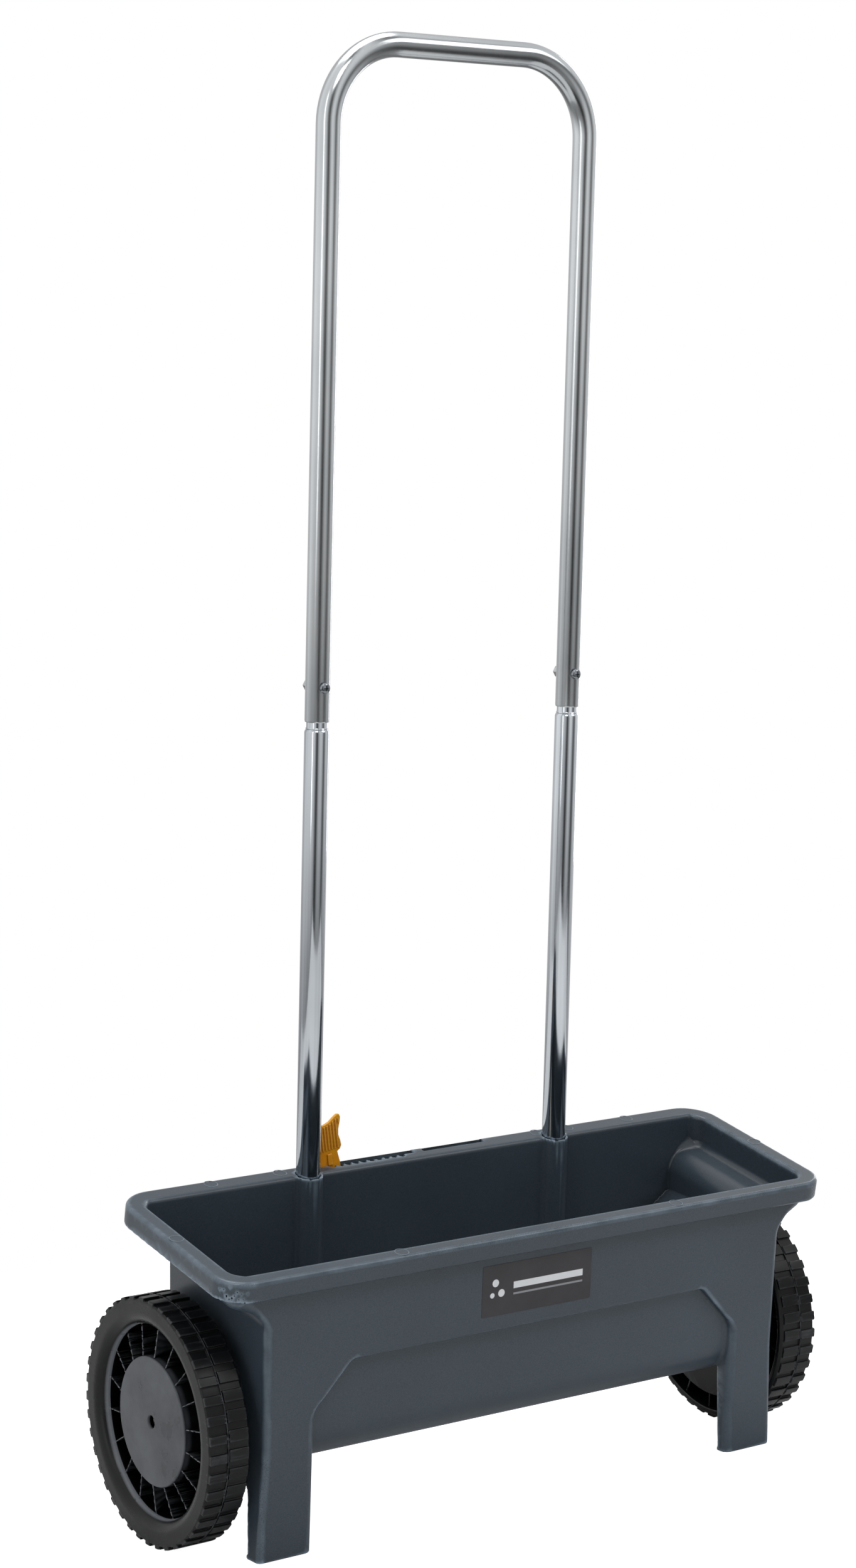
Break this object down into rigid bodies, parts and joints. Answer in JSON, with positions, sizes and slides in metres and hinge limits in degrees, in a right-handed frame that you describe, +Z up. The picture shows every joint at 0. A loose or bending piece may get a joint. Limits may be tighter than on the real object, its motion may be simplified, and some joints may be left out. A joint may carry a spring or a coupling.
{
  "type": "garden drop spreader",
  "caption": "Walk-behind drop spreader: moulded hopper on wheels and front legs, tall tube handle, dosing lever working a sliding shutter under the trough.",
  "frame": {"origin": "middle of the footprint box, on the ground", "axes": "+Z up, +X to the right along the hopper as seen from its front, -Y towards the front with the legs and the label"},
  "size_m": [0.614, 0.2242, 1.1902],
  "materials": {
    "hopper_plastic": "fine-grained slate-grey moulding, satin",
    "label_film": "dark printed film, satin, no lettering",
    "tube_aluminium": "bright silver tube, satin",
    "lever_plastic": "amber yellow moulding, slight gloss",
    "wheel_plastic": "black moulding, satin",
    "axle_steel": "drawn bright bar",
    "nylon": "natural nylon",
    "seal_rubber": "black rubber",
    "guide_plastic": "black moulding",
    "shutter_zinc": "galvanised sheet",
    "fastener_zinc": "zinc plated"
  },
  "bodies": {
    "chassis": {"hopper": "hopper_plastic", "front_label": "label_film", "handle_upper": "tube_aluminium", "lever_screw": "fastener_zinc", "lever_washer": "fastener_zinc", "shutter_guide_front": "guide_plastic", "shutter_guide_rear_left": "guide_plastic", "shutter_guide_rear_right": "guide_plastic", "guide_screw_1": "fastener_zinc", "guide_screw_2": "fastener_zinc", "guide_screw_3": "fastener_zinc", "guide_screw_4": "fastener_zinc", "guide_screw_5": "fastener_zinc", "guide_screw_6": "fastener_zinc", "handle_lower_left": "tube_aluminium", "handle_lower_right": "tube_aluminium", "handle_bolt_left": "fastener_zinc", "handle_bolt_right": "fastener_zinc", "handle_nut_left": "fastener_zinc", "handle_nut_right": "fastener_zinc", "socket_screw_left": "fastener_zinc", "socket_screw_right": "fastener_zinc", "axle_bush_left": "nylon", "axle_bush_right": "nylon", "axle_seal_left": "seal_rubber", "axle_seal_right": "seal_rubber"},
    "axle": {"axle": "axle_steel", "agitator": "nylon", "drive_pin": "fastener_zinc", "wheel_right": "wheel_plastic", "axle_spacer_left": "nylon", "axle_spacer_right": "nylon", "wheel_washer_left": "fastener_zinc", "wheel_washer_right": "fastener_zinc", "wheel_screw_left": "fastener_zinc", "wheel_screw_right": "fastener_zinc"},
    "free_wheel": {"wheel_left": "wheel_plastic"},
    "lever": {"dosing_lever": "lever_plastic"},
    "shutter": {"shutter_plate": "shutter_zinc", "shutter_pin": "fastener_zinc"}
  },
  "joints": [
    {"name": "axle_spin", "type": "hinge", "parent": "chassis", "child": "axle", "pos_m": [0, 0.0121, 0.1], "axis": [1, 0, 0], "continuous": true},
    {"name": "free_wheel_spin", "type": "hinge", "parent": "chassis", "child": "free_wheel", "pos_m": [-0.288, 0.0121, 0.1], "axis": [1, 0, 0], "continuous": true},
    {"name": "lever_swing", "type": "hinge", "parent": "chassis", "child": "lever", "pos_m": [-0.0807, 0.07043, 0.12444], "axis": [0, 0.9972, 0.075], "range_deg": [0, 26]},
    {"name": "shutter_slide", "type": "slide", "parent": "chassis", "child": "shutter", "axis": [1, 0, 0], "range_m": [-0.0246, 0]}
  ],
  "couplings": [
    {"joint": "shutter_slide", "follows": "lever_swing", "m_per_rad": -0.054}
  ]
}
